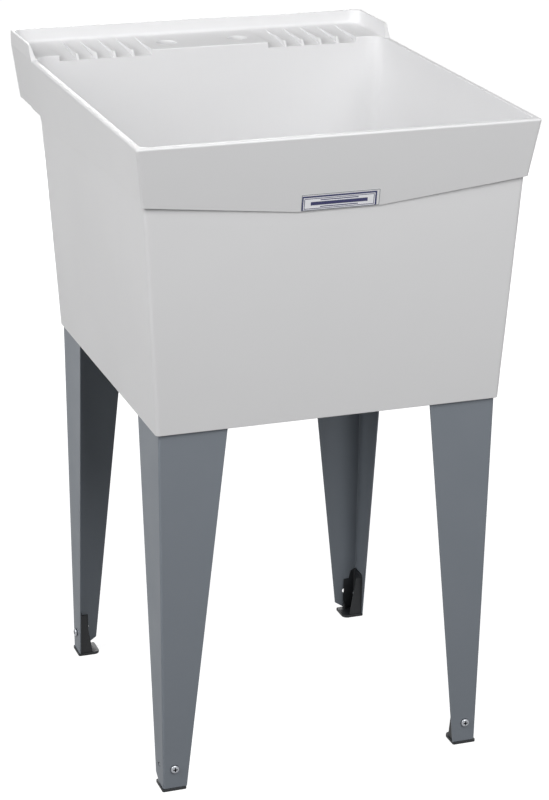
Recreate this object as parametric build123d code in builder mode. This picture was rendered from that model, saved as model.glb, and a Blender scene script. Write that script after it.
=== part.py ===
from build123d import *
import math
import os

# Utility laundry sink: a one-piece moulded tub on four folded sheet-steel legs, each with a
# black levelling foot. Millimetres, +Z up, origin on the floor under the middle of the object,
# and -Y is the front, where a user stands.

os.makedirs("parts", exist_ok=True)

# ---------------------------------------------------------------- driving dimensions
# Overall
overall_width = 508.0           # across the rim, left to right
overall_depth = 607.0           # front of the rim to the back of the splash
rim_height = 852.0              # floor to the rim and ledge
splash_height = 18.0            # splash above the ledge
tub_height = 363.0              # rim to the skirt's lower edge

# Tub body, outside: how far each of its faces stands in from the rim's outer edge
body_top_drop = 73.0            # rim down to the seam where the tapered body begins
body_top_front_inset = 16.5
body_top_rear_inset = 99.5
body_top_front_side_inset = 12.7
body_top_rear_side_inset = 10.2
body_bottom_front_inset = 28.0
body_bottom_rear_inset = 122.5
body_bottom_side_inset = 29.5
body_front_radius = 5.0
body_bottom_rear_radius = 10.0
body_top_rear_radius = 25.0
body_lower_edge_radius = 0.8
body_overlap = 6.0              # how far the body runs up inside the apron band

# Apron band under the rim, and the line of its lower edge below the rim
apron_front_taper = 0.164       # inward per mm down
apron_side_taper = 0.130
apron_back_taper = 0.0985
apron_front_radius = 4.0
apron_back_radius = 5.0
apron_front_end_drop = 73.5
apron_front_end_inset = 13.0
apron_centre_drop = 94.5
apron_centre_width = 104.0
apron_side_front_drop = 69.0
apron_side_level_length = 165.5
apron_side_rear_drop = 90.5
apron_side_rear_inset = 125.5
apron_gusset_drop = 74.0
apron_gusset_front_inset = 119.5
apron_gusset_length = 38.0
apron_gusset_run_out = 11.0
apron_back_drop = 72.2

# Rim, ledge and splash
rim_width = 8.0
rim_outer_radius = 2.5
rim_inner_radius = 1.5
ledge_depth = 97.0
ledge_wall = 4.0
ledge_hollow_radius = 3.0
splash_top_thickness = 4.5
splash_foot_thickness = 7.0
splash_corner_radius = 15.0
splash_foot_radius = 4.0
splash_edge_radius = 1.2
cap_top_thickness = 3.0
cap_foot_thickness = 7.0
cap_front_run = 116.5           # from the back face to the cap's foot on the rim
cap_front_slope_length = 15.5

# Soap dishes in the ledge
dish_inner_edge = 82.5
dish_width = 128.0
dish_depth = 7.5
dish_back_inset = 10.5
dish_rib_count = 4
dish_rib_thickness = 3.2
dish_rib_nose = 7.0

# Faucet holes, a 4 in centre set
faucet_spacing = 101.6
faucet_hole_radius = 13.0
faucet_hole_chamfer = 1.5
faucet_hole_inset = 57.5        # back face to the holes' centres

# Basin
wall = 3.7
basin_front_radius = 10.0
basin_rear_radius = 21.0
basin_floor_corner_radius = 15.0
basin_floor_fillet = 12.0
floor_thickness = 5.0
floor_fall = 3.0
floor_fall_margin = 22.0
drain_dish_size = 112.0
drain_dish_radius = 50.0

# Skirt below the floor, and the pads that the legs are screwed to
skirt_depth = 14.0
skirt_wall = 3.6
skirt_inner_radius = 3.0
leg_pocket_clearance = 0.3
pad_size = 66.0
pad_depth = 9.8
pad_corner_radius = 3.0
pad_screw_depth = 8.0

# Drain
drain_hole_radius = 24.4
drain_boss_radius = 44.0
drain_boss_depth = 4.0
drain_flange_radius = 38.0
drain_flange_thickness = 2.6
drain_flange_recess = 0.3
drain_flange_side_clearance = 0.3
drain_flange_edge_radius = 1.0
drain_mouth_radius = 24.5
drain_mouth_depth = 5.0
drain_throat_radius = 20.0
drain_shoulder_depth = 14.0
drain_bore_radius = 17.5
drain_shank_radius = 23.9
drain_shank_length = 45.0
thread_clearance = 0.06
strainer_thickness = 2.0
strainer_side_clearance = 0.1
strainer_hole_radius = 2.4
strainer_inner_ring_radius = 7.0
strainer_inner_ring_count = 6
strainer_outer_ring_radius = 14.2
strainer_outer_ring_count = 12
gasket_outer_radius = 36.0
gasket_thickness = 3.0
gasket_bore_clearance = 0.3
locknut_across_flats = 62.0
locknut_thickness = 9.0
slip_washer_outer_radius = 23.6
slip_washer_thickness = 2.0
tail_outer_radius = 19.05       # 1 1/2 in tubing
tail_wall = 1.45
tail_flange_radius = 22.4
tail_flange_thickness = 2.2
tail_length = 50.0
tail_hub_radius = 19.35         # thicker root under the flange, inside the slip nut
tail_hub_reach = 1.5            # how far the hub shows below the slip nut
slip_nut_across_flats = 58.0
slip_nut_overlap = 16.0
slip_nut_lip = 4.0
slip_nut_lip_clearance = 0.3

# Stopper
plug_side_clearance = 0.45
plug_foot_clearance = 0.3
plug_recess = 1.5
plug_boss_radius = 8.0
plug_boss_height = 5.0
knob_stem_radius = 2.5
knob_stem_depth = 6.0
knob_stem_clearance = 0.05
knob_radius = 9.5
knob_height = 11.0
knob_neck_radius = 5.0

# Label plate on the apron
label_width = 99.0
label_height = 20.6
label_thickness = 0.5
label_corner_radius = 1.0
label_above_edge = 0.8
label_centre_x = 1.0

# Legs
sheet = 1.5
leg_corner_radius = 3.0
leg_inner_corner_radius = 1.5
leg_top_gap = 1.0               # under the tub's floor
leg_lean = 5.0                  # inward, both ways, from the tub's lower edge to the floor
flange_width_at_tub = 88.0
flange_width_at_floor = 30.9
leg_lift = 0.3                  # gap between a leg's lower edge and its foot
bevel_length = 12.5
bevel_height = 8.5
top_plate_leg = 62.0
top_plate_nose = 14.0
top_plate_screw_far = 40.0
top_plate_screw_near = 16.0

# Levelling feet
foot_plate_thickness = 3.6
foot_plate_length = 32.0
foot_plate_width = 31.0
foot_plate_lip = 1.2
foot_plate_corner_radius = 2.5
foot_plate_inner_radius = 8.0
foot_plate_edge_radius = 0.6
foot_arm_thickness = 2.4
foot_arm_clearance = 0.15
foot_bend_radius = 2.5
foot_apex_height = 65.5
foot_long_arm = 29.5
foot_long_shoulder = 26.0
foot_long_shoulder_height = 65.0
foot_long_end_height = 61.5
foot_short_arm = 20.5
foot_short_top = 10.5
foot_short_shoulder = 9.5
foot_short_shoulder_height = 61.5
foot_short_end_height = 57.5
foot_short_foot_height = 7.0
foot_rib_thickness = 2.0
foot_rib_depth_top = 9.0
foot_rib_depth_bottom = 18.0
foot_gusset_depth = 7.0
foot_gusset_height = 12.0
foot_travel = 22.0
foot_slot_clearance = 0.4

# Foot clamp screw and nut
clamp_height = 30.8
clamp_from_corner = 15.3
spare_hole_from_corner = 18.5
spare_hole_height = 30.5
spare_hole_radius = 3.3
clamp_screw_radius = 2.5        # M5
clamp_hole_clearance = 0.2
clamp_head_radius = 5.6
clamp_head_height = 3.4
clamp_head_crown_radius = 2.6
clamp_tip_length = 2.2
clamp_nut_across_flats = 8.0
clamp_nut_thickness = 4.0
clamp_nut_gap = 0.1
cross_length = 5.6
cross_width = 1.1
cross_depth = 1.4

# Tapping screws that hold a leg's top plate to the tub
tapping_screw_radius = 2.0
tapping_screw_depth = 7.0
tapping_head_radius = 4.2
tapping_head_height = 2.4
tapping_head_crown_radius = 1.2
tapping_hole_clearance = 0.25
tapping_grip_clearance = 0.05

# ---------------------------------------------------------------- derived sizes
half_width = overall_width / 2
front_face = -overall_depth / 2
back_face = overall_depth / 2
overall_height = rim_height + splash_height
tub_bottom_height = rim_height - tub_height
seam_height = rim_height - body_top_drop
body_rise = tub_height - body_top_drop
ledge_front = back_face - ledge_depth
dish_back = back_face - dish_back_inset
cap_foot_y = back_face - cap_front_run
floor_underside_height = tub_bottom_height + skirt_depth
floor_top_height = floor_underside_height + floor_thickness
floor_edge_height = floor_top_height + floor_fall
tool_overrun = 10.0             # how far a cutting shape runs past the faces it opens

body_bottom_half = half_width - body_bottom_side_inset
body_bottom_front = front_face + body_bottom_front_inset
body_bottom_rear = back_face - body_bottom_rear_inset
body_top_front = front_face + body_top_front_inset
body_top_rear = back_face - body_top_rear_inset
drain_y = (body_bottom_front + body_bottom_rear) / 2

pad_bottom_height = floor_underside_height - pad_depth
leg_corner_x = body_bottom_half - skirt_wall - leg_pocket_clearance
leg_front_y = body_bottom_front + skirt_wall + leg_pocket_clearance
leg_rear_y = body_bottom_rear - skirt_wall - leg_pocket_clearance
leg_top_height = floor_underside_height - leg_top_gap
leg_bottom_height = foot_plate_thickness + leg_lift
lean_angle = math.degrees(math.atan2(leg_lean, tub_bottom_height))

drain_seat_height = floor_top_height - drain_flange_recess - drain_flange_thickness
drain_top_height = drain_seat_height + drain_flange_thickness
drain_shoulder_height = drain_top_height - drain_shoulder_depth
drain_end_height = drain_seat_height - drain_shank_length
boss_bottom_height = floor_underside_height - drain_boss_depth
gasket_bottom_height = boss_bottom_height - gasket_thickness
thread_bore_radius = drain_shank_radius + thread_clearance
tail_top_height = drain_end_height - slip_washer_thickness
tail_flange_bottom_height = tail_top_height - tail_flange_thickness
slip_nut_bottom = tail_flange_bottom_height - slip_nut_lip
slip_nut_top = drain_end_height + slip_nut_overlap
tail_hub_bottom = slip_nut_bottom - tail_hub_reach
tail_bore_radius = tail_outer_radius - tail_wall


def lerp(share, start, end):
    """The value that lies a share of the way from start to end."""
    return start + share * (end - start)


def body_at(z, inset=0.0):
    """Front half width, rear half width, front and rear of the tapered body at a height."""
    share = (z - tub_bottom_height) / body_rise
    return (
        lerp(share, body_bottom_half, half_width - body_top_front_side_inset) - inset,
        lerp(share, body_bottom_half, half_width - body_top_rear_side_inset) - inset,
        lerp(share, body_bottom_front, body_top_front) + inset,
        lerp(share, body_bottom_rear, body_top_rear) - inset,
    )


def band_at(z):
    """Half width twice, front and back of the apron band at a height."""
    down = rim_height - z
    half = half_width - apron_side_taper * down
    return (half, half, front_face + apron_front_taper * down, back_face - apron_back_taper * down)


def plan(z, sides, front_radius, rear_radius):
    """A four-sided plan at a height, with its own front and rear corner radii."""
    front_half, rear_half, front, rear = sides
    with BuildSketch(Plane.XY.offset(z)) as outline:
        with BuildLine():
            Polyline(
                (-front_half, front),
                (front_half, front),
                (rear_half, rear),
                (-rear_half, rear),
                close=True,
            )
        make_face()
        if front_radius:
            fillet(outline.vertices().sort_by(Axis.Y)[:2], radius=front_radius)
        fillet(outline.vertices().sort_by(Axis.Y)[-2:], radius=rear_radius)
    return outline.sketch


def side_profile(points):
    """A closed outline of (y, z) points in the plane that splits the sink left from right."""
    with BuildSketch(Plane.YZ) as outline:
        with BuildLine():
            Polyline(*points, close=True)
        make_face()
    return outline.sketch


# ---------------------------------------------------------------- tub: shapes it is made from
with BuildPart() as body_block:
    body_top = seam_height + body_overlap
    loft(
        [
            plan(tub_bottom_height, body_at(tub_bottom_height), body_front_radius, body_bottom_rear_radius),
            plan(body_top, body_at(body_top), body_front_radius, body_top_rear_radius),
        ],
        ruled=True,
    )
    fillet(body_block.faces().sort_by(Axis.Z)[0].edges(), radius=body_lower_edge_radius)

with BuildPart() as band_block:
    # Flared band from the rim down past its lower edge, which is cut out of it next.
    band_foot = rim_height - apron_centre_drop - tool_overrun
    loft(
        [
            plan(band_foot, band_at(band_foot), apron_front_radius, apron_back_radius),
            plan(rim_height, band_at(rim_height), apron_front_radius, apron_back_radius),
        ],
        ruled=True,
    )
    # Front: the lower edge rises from the middle towards both corners.
    centre_height = rim_height - apron_centre_drop
    with BuildSketch(Plane.XZ) as front_edge:
        edge_rise = apron_centre_drop - apron_front_end_drop
        edge_run = half_width - apron_front_end_inset - apron_centre_width / 2
        edge_end = half_width + tool_overrun
        edge_end_height = centre_height + edge_rise / edge_run * (edge_end - apron_centre_width / 2)
        with BuildLine():
            Polyline(
                (-edge_end, band_foot - tool_overrun),
                (-edge_end, edge_end_height),
                (-apron_centre_width / 2, centre_height),
                (apron_centre_width / 2, centre_height),
                (edge_end, edge_end_height),
                (edge_end, band_foot - tool_overrun),
                close=True,
            )
        make_face()
    band_front_depth = body_top_front - front_face + wall / 2
    extrude(
        front_edge.sketch.moved(Location((0, front_face + band_front_depth, 0))),
        amount=band_front_depth + tool_overrun,
        mode=Mode.SUBTRACT,
    )
    # Sides: level at the front, falling until they merge with the body, up beside its rounded
    # rear corner, then almost level under the ledge.
    side_cut_front = body_top_front + wall / 2
    gusset_front = back_face - apron_gusset_front_inset
    gusset_rear = gusset_front + apron_gusset_length
    side_edge = side_profile(
        [
            (side_cut_front, band_foot - tool_overrun),
            (side_cut_front, rim_height - apron_side_front_drop),
            (front_face + apron_side_level_length, rim_height - apron_side_front_drop),
            (back_face - apron_side_rear_inset, rim_height - apron_side_rear_drop),
            (gusset_front, rim_height - apron_gusset_drop),
            (gusset_rear, rim_height - apron_gusset_drop),
            (gusset_rear + apron_gusset_run_out, rim_height - apron_back_drop),
            (back_face + tool_overrun, rim_height - apron_back_drop),
            (back_face + tool_overrun, band_foot - tool_overrun),
        ]
    )
    extrude(side_edge, amount=half_width + tool_overrun, both=True, mode=Mode.SUBTRACT)

with BuildPart() as ledge_hollow:
    # Space under the ledge, open below, between the basin's rear wall and the back face.
    hollow_foot = rim_height - apron_side_rear_drop - tool_overrun
    hollow_sections = []
    for z in (hollow_foot, rim_height):
        band_half, _, _, band_back = band_at(z)
        hollow_half = band_half - ledge_wall
        hollow_sides = (hollow_half, hollow_half, body_at(z)[3], band_back - ledge_wall)
        hollow_sections.append(plan(z, hollow_sides, ledge_hollow_radius, ledge_hollow_radius))
    loft(hollow_sections, ruled=True)
    dish_slope = dish_depth / (dish_back - ledge_front)
    hollow_front = body_bottom_rear
    hollow_roof = rim_height - ledge_wall
    extrude(
        side_profile(
            [
                (hollow_front, hollow_foot - tool_overrun),
                (hollow_front, hollow_roof - dish_slope * (dish_back - hollow_front)),
                (dish_back, hollow_roof),
                (back_face + tool_overrun, hollow_roof),
                (back_face + tool_overrun, hollow_foot - tool_overrun),
            ]
        ),
        amount=half_width + tool_overrun,
        both=True,
        mode=Mode.INTERSECT,
    )

with BuildPart() as basin_space:
    # Tapered basin from its floor up to the seam, then the steeper flare up to the rim.
    rim_sides = (half_width - rim_width, half_width - rim_width, front_face + rim_width, ledge_front)
    seam_sides = body_at(seam_height, wall)
    floor_sides = body_at(floor_edge_height, wall)
    loft(
        [
            plan(floor_edge_height, floor_sides, basin_floor_corner_radius, basin_floor_corner_radius),
            plan(seam_height, seam_sides, basin_front_radius, basin_rear_radius),
        ],
        ruled=True,
    )
    fillet(basin_space.faces().sort_by(Axis.Z)[0].edges(), radius=basin_floor_fillet)
    loft(
        [
            plan(seam_height, seam_sides, basin_front_radius, basin_rear_radius),
            plan(rim_height, rim_sides, basin_front_radius, basin_rear_radius),
        ],
        ruled=True,
    )
    extrude(basin_space.faces().sort_by(Axis.Z)[-1], amount=tool_overrun)
    # The floor falls gently to the drain from all four sides.
    fall_sides = body_at(floor_edge_height, wall + floor_fall_margin)
    dish_half = drain_dish_size / 2
    dish_sides = (dish_half, dish_half, drain_y - dish_half, drain_y + dish_half)
    loft(
        [
            plan(floor_top_height, dish_sides, drain_dish_radius, drain_dish_radius),
            plan(floor_edge_height, fall_sides, drain_dish_radius, drain_dish_radius),
        ],
        ruled=True,
    )

with BuildPart() as soap_dishes:
    # Two sloping recesses that drain into the basin, each crossed by standing ribs.
    floor_at_front = rim_height - dish_depth - dish_slope * tool_overrun
    recess = side_profile(
        [
            (ledge_front - tool_overrun, floor_at_front),
            (dish_back, rim_height),
            (dish_back, rim_height + tool_overrun),
            (ledge_front - tool_overrun, rim_height + tool_overrun),
        ]
    )
    rib = side_profile(
        [
            (ledge_front - dish_slope * tool_overrun, floor_at_front - tool_overrun),
            (ledge_front, rim_height - dish_depth),
            (ledge_front + dish_rib_nose, rim_height),
            (dish_back + tool_overrun, rim_height),
            (dish_back + tool_overrun, floor_at_front - tool_overrun),
        ]
    )
    for side in (-1, 1):
        near_end = side * dish_inner_edge
        extrude(recess.moved(Location((near_end, 0, 0))), amount=dish_width, dir=(side, 0, 0))
    rib_pitch = dish_width / (dish_rib_count + 1)
    for side in (-1, 1):
        for index in range(1, dish_rib_count + 1):
            rib_x = side * (dish_inner_edge + index * rib_pitch)
            extrude(
                rib.moved(Location((rib_x, 0, 0))),
                amount=dish_rib_thickness / 2,
                both=True,
                mode=Mode.SUBTRACT,
            )

with BuildPart() as splash_block:
    # Low wall round the back of the ledge, with end caps whose fronts slope down to the rim.
    splash_outline = side_profile(
        [
            (cap_foot_y, rim_height),
            (cap_foot_y + cap_front_slope_length, overall_height),
            (back_face, overall_height),
            (back_face, rim_height),
        ]
    )
    extrude(splash_outline, amount=half_width, both=True)
    back_corners = splash_block.edges().filter_by(Axis.Z).group_by(Axis.Y)[-1]
    fillet(back_corners, radius=apron_back_radius)

with BuildPart() as splash_space:
    # The space that the splash and its caps stand round, wider at the top than at the foot.
    space_front = cap_foot_y - tool_overrun
    foot_half = half_width - cap_foot_thickness
    top_half = half_width - cap_top_thickness
    foot_sides = (foot_half, foot_half, space_front, back_face - splash_foot_thickness)
    top_sides = (top_half, top_half, space_front, back_face - splash_top_thickness)
    loft(
        [
            plan(rim_height, foot_sides, 0, splash_corner_radius),
            plan(overall_height, top_sides, 0, splash_corner_radius),
        ],
        ruled=True,
    )
    foot_edges = splash_space.faces().sort_by(Axis.Z)[0].edges().sort_by(Axis.Y)[1:]
    fillet(foot_edges, radius=splash_foot_radius)
    extrude(splash_space.faces().sort_by(Axis.Z)[-1], amount=tool_overrun)

with BuildPart() as skirt_space:
    # Open space below the floor, with a solid pad left in each corner for the legs.
    skirt_foot = tub_bottom_height - tool_overrun
    loft(
        [
            plan(skirt_foot, body_at(skirt_foot, skirt_wall), skirt_inner_radius, skirt_inner_radius),
            plan(
                floor_underside_height,
                body_at(floor_underside_height, skirt_wall),
                skirt_inner_radius,
                skirt_inner_radius,
            ),
        ],
        ruled=True,
    )
    pad_inset = sheet + leg_pocket_clearance
    pad_middle_x = leg_corner_x - pad_inset - pad_size / 2
    pad_middle_front = leg_front_y + pad_inset + pad_size / 2
    pad_middle_rear = leg_rear_y - pad_inset - pad_size / 2
    with BuildSketch(Plane.XY.offset(pad_bottom_height)) as pads:
        with Locations(
            (-pad_middle_x, pad_middle_front),
            (pad_middle_x, pad_middle_front),
            (-pad_middle_x, pad_middle_rear),
            (pad_middle_x, pad_middle_rear),
        ):
            RectangleRounded(pad_size, pad_size, pad_corner_radius)
    extrude(pads.sketch, amount=pad_depth + tool_overrun, mode=Mode.SUBTRACT)

with BuildPart() as square_rear_edge:
    # The band's unrounded top edge behind the caps' feet, where its faces run up into the splash.
    add(band_block.part)
    with BuildSketch(Plane.XY.offset(rim_height - 2 * rim_outer_radius)) as rear_zone:
        with Locations((0, cap_foot_y)):
            Rectangle(overall_width + tool_overrun, overall_depth, align=(Align.CENTER, Align.MIN))
    extrude(rear_zone.sketch, amount=2 * rim_outer_radius, mode=Mode.INTERSECT)

# ---------------------------------------------------------------- tub
with BuildPart() as tub:
    add(band_block.part)
    fillet(tub.faces().sort_by(Axis.Z)[-1].edges(), radius=rim_outer_radius)
    add(square_rear_edge.part)
    add(body_block.part)
    add(basin_space.part, mode=Mode.SUBTRACT)
    basin_mouth = tub.faces().sort_by(Axis.Z)[-1].inner_wires()[0].edges()
    fillet(basin_mouth, radius=rim_inner_radius)
    add(soap_dishes.part, mode=Mode.SUBTRACT)
    add(ledge_hollow.part, mode=Mode.SUBTRACT)
    add(splash_block.part)
    add(splash_space.part, mode=Mode.SUBTRACT)
    fillet(tub.faces().sort_by(Axis.Z)[-1].edges(), radius=splash_edge_radius)
    add(skirt_space.part, mode=Mode.SUBTRACT)
    with Locations((0, drain_y, boss_bottom_height)):
        Cylinder(drain_boss_radius, drain_boss_depth, align=(Align.CENTER, Align.CENTER, Align.MIN))
    with Locations((0, drain_y, floor_top_height)):
        CounterBoreHole(
            radius=drain_hole_radius,
            counter_bore_radius=drain_flange_radius + drain_flange_side_clearance,
            counter_bore_depth=floor_top_height - drain_seat_height,
        )
    with Locations((0, back_face - faucet_hole_inset, rim_height)):
        with GridLocations(faucet_spacing, 0, 2, 1):
            CounterSinkHole(
                radius=faucet_hole_radius,
                counter_sink_radius=faucet_hole_radius + faucet_hole_chamfer,
                depth=2 * ledge_wall + dish_depth,
                counter_sink_angle=90,
            )
    pad_screw_spots = [
        (side * (leg_corner_x - reach_x), pad_y)
        for side in (-1, 1)
        for reach_x, pad_y in (
            (top_plate_screw_far, leg_front_y + top_plate_screw_near),
            (top_plate_screw_near, leg_front_y + top_plate_screw_far),
            (top_plate_screw_near, leg_rear_y - top_plate_screw_far),
            (top_plate_screw_far, leg_rear_y - top_plate_screw_near),
        )
    ]
    with BuildSketch(Plane.XY.offset(pad_bottom_height)) as pilot_holes:
        with Locations(*pad_screw_spots):
            Circle(tapping_screw_radius + tapping_grip_clearance)
    extrude(pilot_holes.sketch, amount=pad_screw_depth, mode=Mode.SUBTRACT)

# ---------------------------------------------------------------- label plate on the apron
with BuildPart() as label_plate:
    label_low = centre_height + label_above_edge
    apron_normal = Vector(0, -1, -apron_front_taper)
    label_foot_y = front_face + apron_front_taper * (rim_height - label_low)
    label_foot = (label_centre_x, label_foot_y, label_low)
    apron_face = Plane(origin=label_foot, x_dir=(1, 0, 0), z_dir=apron_normal)
    with BuildSketch(apron_face):
        with Locations((0, label_height / 2)):
            RectangleRounded(label_width, label_height, label_corner_radius)
    extrude(amount=label_thickness)

# ---------------------------------------------------------------- drain, from the floor down
drain_axis = Location((0, drain_y, 0))


def turned(points):
    """A closed outline of (radius, z) points, ready to be turned round the drain's axis."""
    with BuildSketch(Plane.XZ) as outline:
        with BuildLine():
            Polyline(*points, close=True)
        make_face()
    return outline.sketch.moved(drain_axis)


def hex_ring(bottom, height, across_flats):
    """A hexagonal blank on the drain's axis."""
    with BuildSketch(Plane.XY.offset(bottom)) as outline:
        with Locations((0, drain_y)):
            RegularPolygon(radius=across_flats / 2, side_count=6, major_radius=False)
    return extrude(outline.sketch, amount=height, mode=Mode.PRIVATE)


centre_line = Axis((0, drain_y, 0), (0, 0, 1))

with BuildPart() as drain_body:
    revolve(
        turned(
            [
                (drain_mouth_radius, drain_top_height),
                (drain_flange_radius, drain_top_height),
                (drain_flange_radius, drain_seat_height),
                (drain_shank_radius, drain_seat_height),
                (drain_shank_radius, drain_end_height),
                (drain_bore_radius, drain_end_height),
                (drain_bore_radius, drain_shoulder_height),
                (drain_throat_radius, drain_shoulder_height),
                (drain_throat_radius, drain_top_height - drain_mouth_depth),
            ]
        ),
        axis=centre_line,
    )
    flange_rim = drain_body.edges().filter_by(GeomType.CIRCLE).filter_by_position(
        Axis.Z, drain_top_height, drain_top_height
    )
    fillet(flange_rim.sort_by(SortBy.RADIUS)[-1], radius=drain_flange_edge_radius)

with BuildPart() as drain_strainer:
    with BuildSketch(Plane.XY.offset(drain_shoulder_height)):
        with Locations((0, drain_y)):
            Circle(drain_throat_radius - strainer_side_clearance)
            with PolarLocations(strainer_inner_ring_radius, strainer_inner_ring_count):
                Circle(strainer_hole_radius, mode=Mode.SUBTRACT)
            with PolarLocations(strainer_outer_ring_radius, strainer_outer_ring_count):
                Circle(strainer_hole_radius, mode=Mode.SUBTRACT)
    extrude(amount=strainer_thickness)

with BuildPart() as drain_gasket:
    with BuildSketch(Plane.XY.offset(gasket_bottom_height)):
        with Locations((0, drain_y)):
            Circle(gasket_outer_radius)
            Circle(drain_shank_radius + gasket_bore_clearance, mode=Mode.SUBTRACT)
    extrude(amount=gasket_thickness)

with BuildPart() as drain_locknut:
    locknut_bottom = gasket_bottom_height - locknut_thickness
    add(hex_ring(locknut_bottom, locknut_thickness, locknut_across_flats))
    with Locations((0, drain_y, gasket_bottom_height)):
        Hole(thread_bore_radius, depth=locknut_thickness)

with BuildPart() as slip_washer:
    with BuildSketch(Plane.XY.offset(tail_top_height)):
        with Locations((0, drain_y)):
            Circle(slip_washer_outer_radius)
            Circle(drain_bore_radius, mode=Mode.SUBTRACT)
    extrude(amount=slip_washer_thickness)

with BuildPart() as tailpiece:
    revolve(
        turned(
            [
                (tail_bore_radius, tail_top_height),
                (tail_flange_radius, tail_top_height),
                (tail_flange_radius, tail_flange_bottom_height),
                (tail_hub_radius, tail_flange_bottom_height),
                (tail_hub_radius, tail_hub_bottom),
                (tail_outer_radius, tail_hub_bottom),
                (tail_outer_radius, tail_top_height - tail_length),
                (tail_bore_radius, tail_top_height - tail_length),
            ]
        ),
        axis=centre_line,
    )

with BuildPart() as slip_nut:
    add(hex_ring(slip_nut_bottom, slip_nut_top - slip_nut_bottom, slip_nut_across_flats))
    with Locations((0, drain_y, slip_nut_top)):
        CounterBoreHole(
            radius=tail_hub_radius + slip_nut_lip_clearance,
            counter_bore_radius=thread_bore_radius,
            counter_bore_depth=slip_nut_top - tail_flange_bottom_height,
        )

# ---------------------------------------------------------------- stopper
plug_foot_height = drain_shoulder_height + strainer_thickness + plug_foot_clearance
plug_top_height = drain_top_height - plug_recess
plug_spigot_radius = drain_throat_radius - plug_side_clearance
mouth_slope = (drain_mouth_radius - drain_throat_radius) / drain_mouth_depth
plug_top_radius = drain_mouth_radius - mouth_slope * plug_recess - plug_side_clearance
boss_top_height = plug_top_height + plug_boss_height
knob_bore_radius = knob_stem_radius + knob_stem_clearance

with BuildPart() as stopper_plug:
    revolve(
        turned(
            [
                (0, plug_foot_height),
                (plug_spigot_radius, plug_foot_height),
                (plug_spigot_radius, drain_top_height - drain_mouth_depth),
                (plug_top_radius, plug_top_height),
                (plug_boss_radius, plug_top_height),
                (plug_boss_radius, boss_top_height),
                (knob_bore_radius, boss_top_height),
                (knob_bore_radius, boss_top_height - knob_stem_depth),
                (0, boss_top_height - knob_stem_depth),
            ]
        ),
        axis=centre_line,
    )

with BuildPart() as stopper_knob:
    knob_top_height = boss_top_height + knob_height
    revolve(
        turned(
            [
                (0, boss_top_height - knob_stem_depth),
                (knob_stem_radius, boss_top_height - knob_stem_depth),
                (knob_stem_radius, boss_top_height),
                (knob_neck_radius, boss_top_height),
                (knob_neck_radius, boss_top_height + knob_height / 3),
                (knob_radius, boss_top_height + knob_height / 2),
                (knob_radius, knob_top_height),
                (0, knob_top_height),
            ]
        ),
        axis=centre_line,
    )
    knob_rim = stopper_knob.edges().filter_by_position(Axis.Z, knob_top_height, knob_top_height)
    fillet(knob_rim, radius=knob_height / 5)

# ---------------------------------------------------------------- one corner: leg, foot and fasteners
# Each is drawn once for the front left corner, with the leg's bend rising from (0, 0): the
# screwed flange runs along +X and faces the front, the other along +Y and faces the left.


def lean_at(z):
    """How far inward the leg's corner stands at a height, the same in x and in y."""
    return leg_lean * (tub_bottom_height - z) / tub_bottom_height


def flange_width_at(z):
    """Width of a flange at a height."""
    return lerp(z / tub_bottom_height, flange_width_at_floor, flange_width_at_tub)


def screwed_flange(distance, z, depth=0.0):
    """Plane on the outside of the flange along +X, facing out, or some depth inside it."""
    return Plane(
        origin=(lean_at(z) + distance, lean_at(z) + depth, z),
        x_dir=(1, 0, 0),
        z_dir=(0, -tub_bottom_height, -leg_lean),
    )


def plain_flange(distance, z, depth=0.0):
    """Plane on the outside of the flange along +Y, facing out, or some depth inside it."""
    return Plane(
        origin=(lean_at(z) + depth, lean_at(z) + distance, z),
        x_dir=(0, -1, 0),
        z_dir=(-tub_bottom_height, 0, -leg_lean),
    )


def angle_section(z, inset, reach_x, reach_y, thickness, outer_radius, inner_radius):
    """An L-shaped section at a height: its reach is from the leg's bend, its bend is rounded."""
    outside = lean_at(z) + inset
    inside = outside + thickness
    end_x = lean_at(z) + reach_x
    end_y = lean_at(z) + reach_y
    with BuildSketch(Plane.XY.offset(z)) as section:
        with BuildLine():
            Polyline(
                (outside, outside),
                (end_x, outside),
                (end_x, inside),
                (inside, inside),
                (inside, end_y),
                (outside, end_y),
                close=True,
            )
        make_face()
        fillet(section.vertices().sort_by_distance((outside, outside, z))[0], radius=outer_radius)
        fillet(section.vertices().sort_by_distance((inside, inside, z))[0], radius=inner_radius)
    return section.sketch


def leg_section(z):
    """The folded sheet of a leg at a height."""
    reach = flange_width_at(z)
    return angle_section(z, 0, reach, reach, sheet, leg_corner_radius, leg_inner_corner_radius)


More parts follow.
